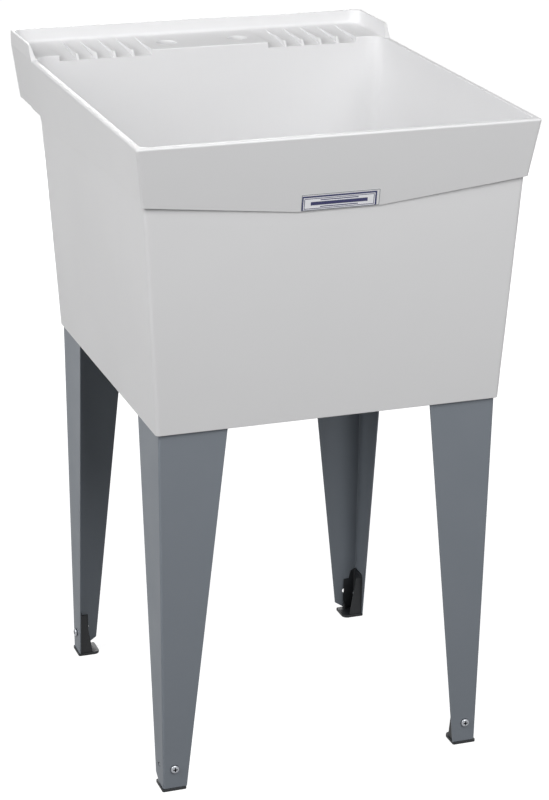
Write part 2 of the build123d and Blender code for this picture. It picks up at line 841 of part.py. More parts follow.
with BuildPart() as leg_pattern:
    loft([leg_section(leg_bottom_height), leg_section(leg_top_height)], ruled=True)
    # Top plate, welded between the flanges, that the tub rests on.
    with BuildSketch(Plane.XY.offset(pad_bottom_height)) as top_plate:
        weld = sheet / 2
        with BuildLine():
            Polyline(
                (weld, weld),
                (top_plate_leg, weld),
                (top_plate_leg, top_plate_nose),
                (top_plate_nose, top_plate_leg),
                (weld, top_plate_leg),
                close=True,
            )
        make_face()
        fillet(top_plate.vertices().sort_by_distance((0, 0))[0], radius=leg_inner_corner_radius)
        with Locations(
            (top_plate_screw_far, top_plate_screw_near), (top_plate_screw_near, top_plate_screw_far)
        ):
            Circle(tapping_screw_radius + tapping_hole_clearance, mode=Mode.SUBTRACT)
    extrude(top_plate.sketch, amount=-sheet)
    # Bevelled lower end of the plain flange.
    plain_end = lean_at(leg_bottom_height) + flange_width_at(leg_bottom_height)
    bevel = side_profile(
        [
            (plain_end - bevel_length, leg_bottom_height),
            (plain_end + bevel_length, leg_bottom_height + 2 * bevel_height),
            (plain_end + bevel_length, leg_bottom_height - bevel_height),
            (plain_end - bevel_length, leg_bottom_height - bevel_height),
        ]
    )
    extrude(bevel, amount=leg_lean + 2 * sheet, mode=Mode.SUBTRACT)
    # Clamp screw hole, and a hole left empty in the plain flange.
    with BuildSketch(screwed_flange(clamp_from_corner, clamp_height)) as clamp_hole:
        Circle(clamp_screw_radius + clamp_hole_clearance)
    extrude(clamp_hole.sketch, amount=-2 * sheet, mode=Mode.SUBTRACT)
    with BuildSketch(plain_flange(spare_hole_from_corner, spare_hole_height)) as spare_hole:
        Circle(spare_hole_radius)
    extrude(spare_hole.sketch, amount=-2 * sheet, mode=Mode.SUBTRACT)

with BuildPart() as foot_pattern:
    foot_inset = sheet + foot_arm_clearance
    plate_corner = leg_lean - foot_plate_lip
    with BuildSketch() as base_plate:
        with Locations((plate_corner, plate_corner)):
            Rectangle(foot_plate_length, foot_plate_width, align=(Align.MIN, Align.MIN))
        outer_corners = base_plate.vertices().sort_by_distance((plate_corner, plate_corner))[:3]
        fillet(outer_corners, radius=foot_plate_corner_radius)
        far_corner = (plate_corner + foot_plate_length, plate_corner + foot_plate_width)
        fillet(base_plate.vertices().sort_by_distance(far_corner)[0], radius=foot_plate_inner_radius)
    extrude(base_plate.sketch, amount=foot_plate_thickness)
    fillet(foot_pattern.faces().sort_by(Axis.Z)[-1].edges(), radius=foot_plate_edge_radius)
    # Two upright arms inside the leg's flanges, highest at the bend.
    arm_root = foot_plate_thickness / 2
    arm_sections = [
        angle_section(
            z, foot_inset, foot_long_arm, foot_short_arm, foot_arm_thickness,
            foot_bend_radius, foot_bend_radius / 2,
        )
        for z in (arm_root, foot_apex_height)
    ]
    loft(arm_sections, ruled=True)
    above_arms = foot_apex_height + tool_overrun
    arm_reach = lean_at(foot_apex_height) + foot_inset + foot_arm_thickness + foot_arm_clearance
    with BuildSketch(Plane.XZ) as long_arm_top:
        with BuildLine():
            Polyline(
                (lean_at(foot_apex_height) + foot_inset, foot_apex_height),
                (lean_at(foot_long_shoulder_height) + foot_long_shoulder, foot_long_shoulder_height),
                (lean_at(foot_long_end_height) + foot_long_arm, foot_long_end_height),
                (leg_lean + foot_long_arm + tool_overrun, foot_long_end_height),
                (leg_lean + foot_long_arm + tool_overrun, above_arms),
                (lean_at(foot_apex_height) + foot_inset, above_arms),
                close=True,
            )
        make_face()
    extrude(long_arm_top.sketch, amount=-arm_reach, mode=Mode.SUBTRACT)
    short_arm_top = side_profile(
        [
            (lean_at(foot_apex_height) + foot_inset, foot_apex_height),
            (lean_at(foot_short_shoulder_height) + foot_short_shoulder, foot_short_shoulder_height),
            (lean_at(foot_short_end_height) + foot_short_top, foot_short_end_height),
            (lean_at(foot_short_foot_height) + foot_short_arm, foot_short_foot_height),
            (leg_lean + foot_short_arm + tool_overrun, foot_short_foot_height),
            (leg_lean + foot_short_arm + tool_overrun, above_arms),
            (lean_at(foot_apex_height) + foot_inset, above_arms),
        ]
    )
    extrude(short_arm_top, amount=arm_reach, mode=Mode.SUBTRACT)
    # Stiffening rib across the long arm's free edge, deeper at the foot.
    rib_sections = []
    for z, rib_depth in (
        (arm_root, foot_rib_depth_bottom), (foot_long_end_height, foot_rib_depth_top)
    ):
        with BuildSketch(Plane.XY.offset(z)) as rib_section:
            with Locations((lean_at(z) + foot_long_arm, lean_at(z) + foot_inset)):
                Rectangle(foot_rib_thickness, rib_depth, align=(Align.MAX, Align.MIN))
        rib_sections.append(rib_section.sketch)
    loft(rib_sections, ruled=True)
    # Low gusset at the short arm's free edge.
    gusset_middle = leg_lean + foot_short_arm - foot_rib_thickness / 2
    gusset_x = leg_lean + foot_inset + foot_arm_thickness / 2
    with BuildSketch(Plane.XZ.offset(-gusset_middle)) as gusset:
        with BuildLine():
            Polyline(
                (gusset_x, arm_root),
                (gusset_x, foot_gusset_height),
                (gusset_x + foot_gusset_depth / 2, foot_gusset_height),
                (gusset_x + foot_gusset_depth, arm_root),
                close=True,
            )
        make_face()
    extrude(gusset.sketch, amount=foot_rib_thickness / 2, both=True)
    # Slot for the clamp screw, along the line that the foot slides on.
    slot_height = clamp_height + foot_travel / 2
    with BuildSketch(screwed_flange(clamp_from_corner, slot_height)) as clamp_slot:
        SlotCenterToCenter(
            foot_travel,
            2 * (clamp_screw_radius + foot_slot_clearance),
            rotation=90 + lean_angle,
        )
    extrude(clamp_slot.sketch, amount=-2 * (foot_inset + foot_arm_thickness), mode=Mode.SUBTRACT)

with BuildPart() as clamp_screw_pattern:
    screw_seat = screwed_flange(clamp_from_corner, clamp_height)
    grip = sheet + foot_arm_clearance + foot_arm_thickness + clamp_nut_gap + clamp_nut_thickness
    with BuildSketch(screw_seat):
        Circle(clamp_screw_radius)
    extrude(amount=-(grip + clamp_tip_length))
    with BuildSketch(screw_seat):
        Circle(clamp_head_radius)
    extrude(amount=clamp_head_height)
    head_face = clamp_screw_pattern.faces().sort_by(Axis.Y)[0]
    fillet(head_face.edges(), radius=clamp_head_crown_radius)
    with BuildSketch(screwed_flange(clamp_from_corner, clamp_height, -clamp_head_height)):
        Rectangle(cross_length, cross_width)
        Rectangle(cross_width, cross_length)
    extrude(amount=-cross_depth, mode=Mode.SUBTRACT)

with BuildPart() as clamp_nut_pattern:
    nut_depth = sheet + foot_arm_clearance + foot_arm_thickness + clamp_nut_gap
    with BuildSketch(screwed_flange(clamp_from_corner, clamp_height, nut_depth)):
        RegularPolygon(radius=clamp_nut_across_flats / 2, side_count=6, major_radius=False)
        Circle(clamp_screw_radius + thread_clearance, mode=Mode.SUBTRACT)
    extrude(amount=-clamp_nut_thickness)

with BuildPart() as leg_screws_pattern:
    plate_underside = pad_bottom_height - sheet
    with BuildSketch(Plane.XY.offset(plate_underside)) as shanks:
        with Locations(
            (top_plate_screw_far, top_plate_screw_near), (top_plate_screw_near, top_plate_screw_far)
        ):
            Circle(tapping_screw_radius)
    extrude(shanks.sketch, amount=sheet + tapping_screw_depth)
    with BuildSketch(Plane.XY.offset(plate_underside)) as heads:
        with Locations(
            (top_plate_screw_far, top_plate_screw_near), (top_plate_screw_near, top_plate_screw_far)
        ):
            Circle(tapping_head_radius)
    extrude(heads.sketch, amount=-tapping_head_height)
    crowns = leg_screws_pattern.edges().filter_by(GeomType.CIRCLE).group_by(Axis.Z)[0]
    fillet(crowns, radius=tapping_head_crown_radius)

# ---------------------------------------------------------------- the four corners
# The left legs are one part, turned a quarter round for the rear; the right ones mirror them.
left_corners = {
    "front": Location((-leg_corner_x, leg_front_y, 0)),
    "rear": Location((-leg_corner_x, leg_rear_y, 0), (0, 0, -90)),
}
corner_patterns = {
    "leg": leg_pattern,
    "foot": foot_pattern,
    "clamp_screw": clamp_screw_pattern,
    "clamp_nut": clamp_nut_pattern,
    "leg_screws": leg_screws_pattern,
}

pieces = {
    "tub": tub,
    "label_plate": label_plate,
    "drain_body": drain_body,
    "drain_strainer": drain_strainer,
    "drain_gasket": drain_gasket,
    "drain_locknut": drain_locknut,
    "slip_washer": slip_washer,
    "tailpiece": tailpiece,
    "slip_nut": slip_nut,
    "stopper_plug": stopper_plug,
    "stopper_knob": stopper_knob,
}
for piece_name, pattern in corner_patterns.items():
    for end, corner in left_corners.items():
        with BuildPart() as left_piece:
            with Locations(corner):
                add(pattern.part)
        with BuildPart() as right_piece:
            mirror(left_piece.part, about=Plane.YZ)
        pieces[f"{piece_name}_{end}_left"] = left_piece
        pieces[f"{piece_name}_{end}_right"] = right_piece

for node_name, piece in pieces.items():
    piece.part.label = node_name
    export_step(piece.part, f"parts/{node_name}.step")
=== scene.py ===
import math

import bmesh
import bpy
from mathutils import Matrix, Vector


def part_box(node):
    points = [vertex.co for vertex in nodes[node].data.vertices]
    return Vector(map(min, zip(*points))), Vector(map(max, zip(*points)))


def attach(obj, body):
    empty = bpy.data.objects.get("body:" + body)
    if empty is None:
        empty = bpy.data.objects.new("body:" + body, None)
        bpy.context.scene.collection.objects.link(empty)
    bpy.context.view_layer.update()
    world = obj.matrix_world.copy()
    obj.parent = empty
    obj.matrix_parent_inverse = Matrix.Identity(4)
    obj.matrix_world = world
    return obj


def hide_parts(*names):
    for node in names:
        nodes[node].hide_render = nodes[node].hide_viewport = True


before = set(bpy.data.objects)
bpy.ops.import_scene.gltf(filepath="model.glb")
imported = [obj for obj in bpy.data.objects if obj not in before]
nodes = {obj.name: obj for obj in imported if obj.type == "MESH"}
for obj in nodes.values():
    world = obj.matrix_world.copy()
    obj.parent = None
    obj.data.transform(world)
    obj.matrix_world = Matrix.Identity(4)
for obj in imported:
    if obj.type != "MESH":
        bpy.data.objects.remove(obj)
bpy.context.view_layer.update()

# ---------------------------------------------------------------------------------------------
# The photograph's view: a portrait product shot from the front left, a little above the rim,
# on a long lens.
# ---------------------------------------------------------------------------------------------
view_azimuth = math.radians(-19.598)
view_elevation = math.radians(20.297)
view_roll = math.radians(0.617)
view_place = Vector((-0.99992, -2.87494, 1.54006))
focal_pixels = 2422.6
image_height = 800
sensor_long_side = 36.0

towards_camera = Vector(
    (
        math.sin(view_azimuth) * math.cos(view_elevation),
        -math.cos(view_azimuth) * math.cos(view_elevation),
        math.sin(view_elevation),
    )
)
level_right = (-towards_camera).cross(Vector((0, 0, 1))).normalized()
level_up = level_right.cross(-towards_camera)
camera_right = math.cos(view_roll) * level_right + math.sin(view_roll) * level_up
camera_up = -math.sin(view_roll) * level_right + math.cos(view_roll) * level_up

camera_data = bpy.data.cameras.new("photo_camera")
camera_data.sensor_width = sensor_long_side
camera_data.lens = focal_pixels * sensor_long_side / image_height
camera_data.clip_end = 100
camera = bpy.data.objects.new("photo_camera", camera_data)
turn = Matrix((camera_right, camera_up, towards_camera)).transposed()
camera.matrix_world = Matrix.Translation(view_place) @ turn.to_4x4()
bpy.context.scene.collection.objects.link(camera)
bpy.context.scene.camera = camera

# ---------------------------------------------------------------------------------------------
# Tub: one thin-walled moulding in off-white polypropylene, taken hot from a polished mould.
# The skin is satin: a soft sheen over a fine orange peel, with slow waves where the wall cooled
# unevenly, and a slightly duller patch here and there.
# ---------------------------------------------------------------------------------------------


def linear(hex_colour):
    """An sRGB hex colour as the linear values that the shaders take."""
    channels = [int(hex_colour[i : i + 2], 16) / 255 for i in (1, 3, 5)]
    curve = [c / 12.92 if c <= 0.04045 else ((c + 0.055) / 1.055) ** 2.4 for c in channels]
    return (*curve, 1.0)


def per_metre(millimetres):
    """A texture scale that repeats about once in a length on the real object."""
    return 1000.0 / millimetres


def add_node(tree, kind, settings=None, links=None):
    """A node, its settings (socket or property to value) and its links (input to node or output)."""
    node = tree.nodes.new(kind)
    for name, value in (settings or {}).items():
        if isinstance(name, int) or name in node.inputs:
            node.inputs[name].default_value = value
        else:
            setattr(node, name, value)
    for name, source in (links or {}).items():
        output = source.outputs[0] if hasattr(source, "outputs") else source
        tree.links.new(output, node.inputs[name])
    return node


def new_material(name, settings):
    """A material with one Principled shader, set from typical values, ready for its pattern."""
    material = bpy.data.materials.new(name)
    material.use_nodes = True
    tree = material.node_tree
    shader = tree.nodes["Principled BSDF"]
    for socket, value in settings.items():
        shader.inputs[socket].default_value = value
    place = add_node(tree, "ShaderNodeTexCoord").outputs["Object"]
    return material, tree, shader, place


def vary(tree, shader, pattern, tones, roughness=None, between=(0.0, 1.0)):
    """Runs a finish from one tone and roughness to another along a pattern, as real ones drift."""
    tint = add_node(
        tree, "ShaderNodeMix", {"data_type": "RGBA", 6: linear(tones[0]), 7: linear(tones[1])},
        {0: pattern},
    )
    tree.links.new(tint.outputs[2], shader.inputs["Base Color"])
    if roughness:
        gloss = add_node(
            tree, "ShaderNodeMapRange",
            {
                "From Min": between[0], "From Max": between[1],
                "To Min": roughness[0], "To Max": roughness[1],
            },
            {"Value": pattern},
        )
        tree.links.new(gloss.outputs[0], shader.inputs["Roughness"])


def dress(node_name, material):
    """Gives a CAD node its finish, in place of the plain one that it came with."""
    mesh = nodes[node_name].data
    mesh.materials.clear()
    mesh.materials.append(material)


tub_white = "#EAEAEB"
tub_shade = "#E7E7E8"
tub_cloud_size = 160.0
tub_wave_size = 110.0
tub_grain_size = 1.1            # real orange peel is about 0.5 mm, drawn coarser so that it shows

tub_plastic, tree, shader, place = new_material("moulded_polypropylene", {"IOR": 1.49})
cloud = add_node(
    tree, "ShaderNodeTexNoise", {"Scale": per_metre(tub_cloud_size), "Detail": 3.0}, {"Vector": place}
)
vary(tree, shader, cloud, (tub_white, tub_shade), (0.30, 0.38), between=(0.3, 0.7))
wave = add_node(
    tree, "ShaderNodeTexNoise", {"Scale": per_metre(tub_wave_size), "Detail": 1.0}, {"Vector": place}
)
grain = add_node(
    tree, "ShaderNodeTexNoise", {"Scale": per_metre(tub_grain_size), "Detail": 2.0}, {"Vector": place}
)
waves = add_node(tree, "ShaderNodeBump", {"Strength": 0.25, "Distance": 0.003}, {"Height": wave})
skin = add_node(
    tree, "ShaderNodeBump", {"Strength": 0.12, "Distance": 0.0001}, {"Height": grain, "Normal": waves}
)
tree.links.new(skin.outputs[0], shader.inputs["Normal"])
dress("tub", tub_plastic)

# ---------------------------------------------------------------------------------------------
# Label plate: a thin gloss film stuck on the middle of the apron. Its printed field is white, with
# a plain blue double border and plain blue rules in flat ink. The margin round it looks like the
# tub, up to a grey line along the plate's edge, which is a painted shadow of that edge.
# ---------------------------------------------------------------------------------------------
label_low, label_high = (Vector(corner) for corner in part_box("label_plate"))
plate_middle = (label_low + label_high) / 2
plate_half_length = 500 * (label_high.x - label_low.x)       # millimetres, as all below
plate_half_height = 500 * (label_high.z - label_low.z)
print_middle = plate_middle + Vector((-0.0018, 0, -0.0016))  # metres
print_half_length = 47.6
print_half_height = 9.9
border_stops = ((0.01, 1), (2.2, 0), (3.2, 1), (4.0, 0))     # a wide line and a fine one inside it
rule_stops = ((2.2, 0), (3.6, 1), (4.8, 0))                  # half the middle rule, then an outer one
outer_rules_from = 2.9
rule_half_length = 36.0
outer_rule_shorter = 12.0
# width of the painted shadow line along the plate's edge
edge_shadow_width = 0.7
ramp_span = 10.0
ink_fade_size = 0.9
label_white = "#FAFBFF"
label_margin = "#EBEBEC"
label_blue = "#12175C"
label_edge_shadow = "#8C9096"


def inside_rectangle(middle, half_length, half_height):
    """Millimetres across and up from a rectangle's middle, and inwards from its nearest edge."""
    centred = add_node(tree, "ShaderNodeVectorMath", {"operation": "SUBTRACT", 1: middle}, {0: place})
    in_millimetres = add_node(
        tree, "ShaderNodeVectorMath", {"operation": "SCALE", "Scale": 1000.0}, {0: centred}
    )
    from_middle = add_node(tree, "ShaderNodeVectorMath", {"operation": "ABSOLUTE"}, {0: in_millimetres})
    spread = add_node(tree, "ShaderNodeSeparateXYZ", {}, {0: from_middle})
    to_end = add_node(
        tree, "ShaderNodeMath", {"operation": "SUBTRACT", 0: half_length}, {1: spread.outputs["X"]}
    )
    to_long_edge = add_node(
        tree, "ShaderNodeMath", {"operation": "SUBTRACT", 0: half_height}, {1: spread.outputs["Z"]}
    )
    to_edge = add_node(
        tree, "ShaderNodeMath", {"operation": "MINIMUM"}, {0: to_end, 1: to_long_edge}
    )
    return spread, to_edge


def inked_bands(distance, starts_inked, stops):
    """Ink along a distance in millimetres, which goes on (1) or off (0) at each stop."""
    span_share = add_node(
        tree, "ShaderNodeMath", {"operation": "DIVIDE", 1: ramp_span}, {0: distance}
    )
    bands = add_node(tree, "ShaderNodeValToRGB", {}, {0: span_share})
    bands.color_ramp.interpolation = "CONSTANT"
    bands.color_ramp.elements[0].color = (starts_inked, starts_inked, starts_inked, 1)
    for at, inked in stops:
        bands.color_ramp.elements.new(at / ramp_span).color = (inked, inked, inked, 1)
    bands.color_ramp.elements.remove(bands.color_ramp.elements[-1])
    return bands


label_film, tree, shader, place = new_material("printed_label_film", {"Roughness": 0.28, "IOR": 1.46})
spread, to_edge = inside_rectangle(print_middle, print_half_length, print_half_height)
border = inked_bands(to_edge, 0, border_stops)
# Rules: a middle one and one on each side of it, the outer ones shorter.
rules = inked_bands(spread.outputs["Z"], 1, rule_stops)
outer_rule = add_node(
    tree, "ShaderNodeMath", {"operation": "GREATER_THAN", 1: outer_rules_from}, {0: spread.outputs["Z"]}
)
shortening = add_node(
    tree, "ShaderNodeMath", {"operation": "MULTIPLY", 1: outer_rule_shorter}, {0: outer_rule}
)
rule_reach = add_node(
    tree, "ShaderNodeMath", {"operation": "SUBTRACT", 0: rule_half_length}, {1: shortening}
)
in_reach = add_node(
    tree, "ShaderNodeMath", {"operation": "LESS_THAN"}, {0: spread.outputs["X"], 1: rule_reach}
)
rule_ink = add_node(tree, "ShaderNodeMath", {"operation": "MULTIPLY"}, {0: rules, 1: in_reach})
ink = add_node(tree, "ShaderNodeMath", {"operation": "MAXIMUM"}, {0: border, 1: rule_ink})
print_fade = add_node(
    tree, "ShaderNodeTexNoise", {"Scale": per_metre(ink_fade_size), "Detail": 1.0}, {"Vector": place}
)
ink_density = add_node(
    tree, "ShaderNodeMapRange", {"To Min": 0.92, "To Max": 1.0}, {"Value": print_fade}
)
ink_laid = add_node(tree, "ShaderNodeMath", {"operation": "MULTIPLY"}, {0: ink, 1: ink_density})
# Ground: white under the print, the tub's tone in the margin, a painted shadow line at the edge.
_, to_plate_edge = inside_rectangle(plate_middle, plate_half_length, plate_half_height)
under_print = add_node(tree, "ShaderNodeMath", {"operation": "GREATER_THAN", 1: 0.0}, {0: to_edge})
# Painted shadow: a grey line round the plate's edge.
painted_edge_shadow = add_node(
    tree, "ShaderNodeMath", {"operation": "LESS_THAN", 1: edge_shadow_width}, {0: to_plate_edge}
)
label_ground = add_node(
    tree, "ShaderNodeMix", {"data_type": "RGBA", 6: linear(label_margin), 7: linear(label_white)},
    {0: under_print},
)
printed = add_node(
    tree, "ShaderNodeMix", {"data_type": "RGBA", 7: linear(label_blue)},
    {0: ink_laid, 6: label_ground.outputs[2]},
)
edge_shadowed = add_node(
    tree, "ShaderNodeMix", {"data_type": "RGBA", 7: linear(label_edge_shadow)},
    {0: painted_edge_shadow, 6: printed.outputs[2]},
)
tree.links.new(edge_shadowed.outputs[2], shader.inputs["Base Color"])
dress("label_plate", label_film)

# ---------------------------------------------------------------------------------------------
# Legs: sheet steel cut to a taper and folded once, then powder coated in blue-grey. The coat is
# satin with a fine orange peel, a shade thinner and brighter in places.
# ---------------------------------------------------------------------------------------------
leg_grey = "#828991"
leg_grey_thin = "#888E96"
coat_cloud_size = 70.0
coat_peel_size = 1.6            # real peel is about 1 mm, drawn coarser so that it shows
ends = ("front_left", "front_right", "rear_left", "rear_right")

powder_coat, tree, shader, place = new_material(
    "powder_coated_steel", {"IOR": 1.52, "Specular IOR Level": 0.3}
)
cloud = add_node(
    tree, "ShaderNodeTexNoise", {"Scale": per_metre(coat_cloud_size), "Detail": 4.0}, {"Vector": place}
)
vary(tree, shader, cloud, (leg_grey, leg_grey_thin), (0.36, 0.46), between=(0.3, 0.7))
peel = add_node(
    tree, "ShaderNodeTexNoise", {"Scale": per_metre(coat_peel_size), "Detail": 2.0}, {"Vector": place}
)
coat_skin = add_node(tree, "ShaderNodeBump", {"Strength": 0.2, "Distance": 0.0001}, {"Height": peel})
tree.links.new(coat_skin.outputs[0], shader.inputs["Normal"])
for end in ends:
    dress(f"leg_{end}", powder_coat)

# ---------------------------------------------------------------------------------------------
# Levelling feet: black glass-filled nylon, moulded. Each slides in the corner of its leg until the
# clamp screw holds it. Matt, with the fine spark texture of the mould.
# ---------------------------------------------------------------------------------------------
foot_black = "#16181B"
foot_black_worn = "#212428"
spark_grain_size = 0.8

foot_nylon, tree, shader, place = new_material("moulded_black_nylon", {"IOR": 1.53})
speck = add_node(
    tree, "ShaderNodeTexNoise", {"Scale": per_metre(spark_grain_size), "Detail": 3.0}, {"Vector": place}
)
vary(tree, shader, speck, (foot_black, foot_black_worn), (0.42, 0.62))
spark = add_node(tree, "ShaderNodeBump", {"Strength": 0.35, "Distance": 0.00015}, {"Height": speck})
tree.links.new(spark.outputs[0], shader.inputs["Normal"])
for end in ends:
    dress(f"foot_{end}", foot_nylon)

# ---------------------------------------------------------------------------------------------
# Screws: M5 pan-head cross-recess screws that clamp the feet, and short tapping screws that hold
# the legs' top plates to the tub. Cold headed steel with rolled threads, bright zinc plated, which
# looks like a pale, faintly mottled silver.
# ---------------------------------------------------------------------------------------------
zinc_bright = "#C6C9CE"
zinc_dull = "#A9ACB2"
zinc_painted_shade = "#1B1D21"
zinc_painted_shade_pale = "#33363C"
zinc_mottle_size = 2.5
painted_shade_mottle_size = 1.2

zinc_plate, tree, shader, place = new_material("bright_zinc_plate", {"Metallic": 1.0})
mottle = add_node(
    tree, "ShaderNodeTexNoise", {"Scale": per_metre(zinc_mottle_size), "Detail": 3.0}, {"Vector": place}
)
vary(tree, shader, mottle, (zinc_bright, zinc_dull), (0.2, 0.38))

# Painted shade: a dark, dull zinc for the recess and round the foot of the head, where shadow falls.
zinc_shadowed, tree, shader, place = new_material(
    "painted_shade_zinc", {"Metallic": 1.0, "Roughness": 0.6}
)
painted_shade_mottle = add_node(
    tree, "ShaderNodeTexNoise", {"Scale": per_metre(painted_shade_mottle_size), "Detail": 2.0}, {"Vector": place}
)
vary(tree, shader, painted_shade_mottle, (zinc_painted_shade, zinc_painted_shade_pale))

pan_fullness = 0.6              # under 1, the head's plan is fuller than a ball's
crown_fullness = 0.62
shaded_foot_share = 0.3
recess_taper = 0.3

screw_tree = bpy.data.node_groups.new("cross_recess_screws", "GeometryNodeTree")
screw_tree.interface.new_socket("Seats", in_out="INPUT", socket_type="NodeSocketGeometry")
for size_name in (
    "Head Radius", "Head Height", "Shank Radius", "Shank Length", "Thread Pitch", "Thread Depth",
    "Cross Length", "Cross Width", "Cross Depth",
):
    screw_tree.interface.new_socket(size_name, in_out="INPUT", socket_type="NodeSocketFloat")
for finish_name in ("Finish", "Painted Shade"):
    screw_tree.interface.new_socket(finish_name, in_out="INPUT", socket_type="NodeSocketMaterial")
screw_tree.interface.new_socket("Screws", in_out="OUTPUT", socket_type="NodeSocketGeometry")
size = add_node(screw_tree, "NodeGroupInput").outputs
tree = screw_tree

# Shank: a grid rolled into a tube, its radius falling and rising along a right-hand helix.
sheet_grid = add_node(tree, "GeometryNodeMeshGrid", {"Vertices X": 21, "Vertices Y": 96})
spot = add_node(
    tree, "ShaderNodeVectorMath", {"operation": "ADD", 1: (0.5, 0.5, 0)},
    {0: add_node(tree, "GeometryNodeInputPosition")},
)
share = add_node(tree, "ShaderNodeSeparateXYZ", {}, {0: spot})
angle = add_node(
    tree, "ShaderNodeMath", {"operation": "MULTIPLY", 1: -2 * math.pi}, {0: share.outputs["X"]}
)
down = add_node(
    tree, "ShaderNodeMath", {"operation": "MULTIPLY"}, {0: share.outputs["Y"], 1: size["Shank Length"]}
)
turns = add_node(tree, "ShaderNodeMath", {"operation": "DIVIDE"}, {0: down, 1: size["Thread Pitch"]})
helix = add_node(tree, "ShaderNodeMath", {"operation": "SUBTRACT"}, {0: turns, 1: share.outputs["X"]})
tooth = add_node(tree, "ShaderNodeMath", {"operation": "PINGPONG", 1: 0.5}, {0: helix})
groove = add_node(tree, "ShaderNodeMath", {"operation": "MULTIPLY"}, {0: tooth, 1: size["Thread Depth"]})
groove_twice = add_node(tree, "ShaderNodeMath", {"operation": "MULTIPLY", 1: 2.0}, {0: groove})
thread = add_node(
    tree, "ShaderNodeMath", {"operation": "SUBTRACT"}, {0: size["Shank Radius"], 1: groove_twice}
)
point = add_node(
    tree, "ShaderNodeMapRange", {"From Min": 0.9, "From Max": 0.99, "To Min": 1.0, "To Max": 0.7},
    {"Value": share.outputs["Y"]},
)
before_end = add_node(
    tree, "ShaderNodeMath", {"operation": "LESS_THAN", 1: 0.999}, {0: share.outputs["Y"]}
)
pointed = add_node(tree, "ShaderNodeMath", {"operation": "MULTIPLY"}, {0: thread, 1: point})
closed = add_node(tree, "ShaderNodeMath", {"operation": "MULTIPLY"}, {0: pointed, 1: before_end})
rolled_x = add_node(
    tree, "ShaderNodeMath", {"operation": "MULTIPLY"},
    {0: closed, 1: add_node(tree, "ShaderNodeMath", {"operation": "COSINE"}, {0: angle})},
)
rolled_y = add_node(
    tree, "ShaderNodeMath", {"operation": "MULTIPLY"},
    {0: closed, 1: add_node(tree, "ShaderNodeMath", {"operation": "SINE"}, {0: angle})},
)
rolled_z = add_node(tree, "ShaderNodeMath", {"operation": "MULTIPLY", 1: -1.0}, {0: down})
rolled = add_node(tree, "ShaderNodeCombineXYZ", {}, {0: rolled_x, 1: rolled_y, 2: rolled_z})
tube = add_node(tree, "GeometryNodeSetPosition", {}, {"Geometry": sheet_grid, "Position": rolled})
shank = add_node(tree, "GeometryNodeMergeByDistance", {"Distance": 1e-6}, {"Geometry": tube})

# Head: a ball pressed flat below and squared off into a pan above.
ball = add_node(tree, "GeometryNodeMeshUVSphere", {"Segments": 32, "Rings": 20, "Radius": 1.0})
ball_spot = add_node(tree, "GeometryNodeInputPosition")
flat_spot = add_node(
    tree, "ShaderNodeVectorMath", {"operation": "MULTIPLY", 1: (1, 1, 0)}, {0: ball_spot}
)
out_from_axis = add_node(tree, "ShaderNodeVectorMath", {"operation": "LENGTH"}, {0: flat_spot})
outward = add_node(tree, "ShaderNodeVectorMath", {"operation": "NORMALIZE"}, {0: flat_spot})
squared = add_node(
    tree, "ShaderNodeMath", {"operation": "POWER", 1: pan_fullness}, {0: out_from_axis.outputs["Value"]}
)
head_reach = add_node(
    tree, "ShaderNodeMath", {"operation": "MULTIPLY"}, {0: squared, 1: size["Head Radius"]}
)
head_plan = add_node(
    tree, "ShaderNodeVectorMath", {"operation": "SCALE"}, {0: outward, "Scale": head_reach}
)
ball_parts = add_node(tree, "ShaderNodeSeparateXYZ", {}, {0: ball_spot})
above = add_node(
    tree, "ShaderNodeMath", {"operation": "MAXIMUM", 1: 0.0}, {0: ball_parts.outputs["Z"]}
)
crowned = add_node(tree, "ShaderNodeMath", {"operation": "POWER", 1: crown_fullness}, {0: above})
head_rise = add_node(
    tree, "ShaderNodeMath", {"operation": "MULTIPLY"}, {0: crowned, 1: size["Head Height"]}
)
head_lift = add_node(tree, "ShaderNodeCombineXYZ", {}, {2: head_rise})
head_spot = add_node(
    tree, "ShaderNodeVectorMath", {"operation": "ADD"}, {0: head_plan, 1: head_lift}
)
shaped_ball = add_node(
    tree, "GeometryNodeSetPosition", {}, {"Geometry": ball, "Position": head_spot}
)
# The lowest band of the head takes the painted-shade zinc, for the shadow round its foot.
foot_of_head = add_node(
    tree, "ShaderNodeMath", {"operation": "MULTIPLY", 1: shaded_foot_share}, {0: size["Head Height"]}
)
low_on_head = add_node(
    tree, "ShaderNodeMath", {"operation": "LESS_THAN"}, {0: ball_parts.outputs["Z"], 1: foot_of_head}
)
pan = add_node(
    tree, "GeometryNodeSetMaterial", {},
    {"Geometry": shaped_ball, "Selection": low_on_head, "Material": size["Painted Shade"]},
)

# Recess: two crossed wings, narrower at the bottom, cut down into the crown.
wing_height = add_node(
    tree, "ShaderNodeMath", {"operation": "MULTIPLY", 1: 2.0}, {0: size["Cross Depth"]}
)
long_way = add_node(
    tree, "ShaderNodeCombineXYZ", {}, {0: size["Cross Length"], 1: size["Cross Width"], 2: wing_height}
)
short_way = add_node(
    tree, "ShaderNodeCombineXYZ", {}, {0: size["Cross Width"], 1: size["Cross Length"], 2: wing_height}
)
wing_spot = add_node(tree, "GeometryNodeInputPosition")
wing_parts = add_node(tree, "ShaderNodeSeparateXYZ", {}, {0: wing_spot})
low_share = add_node(
    tree, "ShaderNodeMath", {"operation": "DIVIDE"}, {0: wing_parts.outputs["Z"], 1: size["Cross Depth"]}
)
narrowing = add_node(
    tree, "ShaderNodeMath", {"operation": "MULTIPLY_ADD", 1: recess_taper, 2: 1.0}, {0: low_share}
)
narrow_plan = add_node(tree, "ShaderNodeCombineXYZ", {2: 1.0}, {0: narrowing, 1: narrowing})
narrowed = add_node(
    tree, "ShaderNodeVectorMath", {"operation": "MULTIPLY"}, {0: wing_spot, 1: narrow_plan}
)
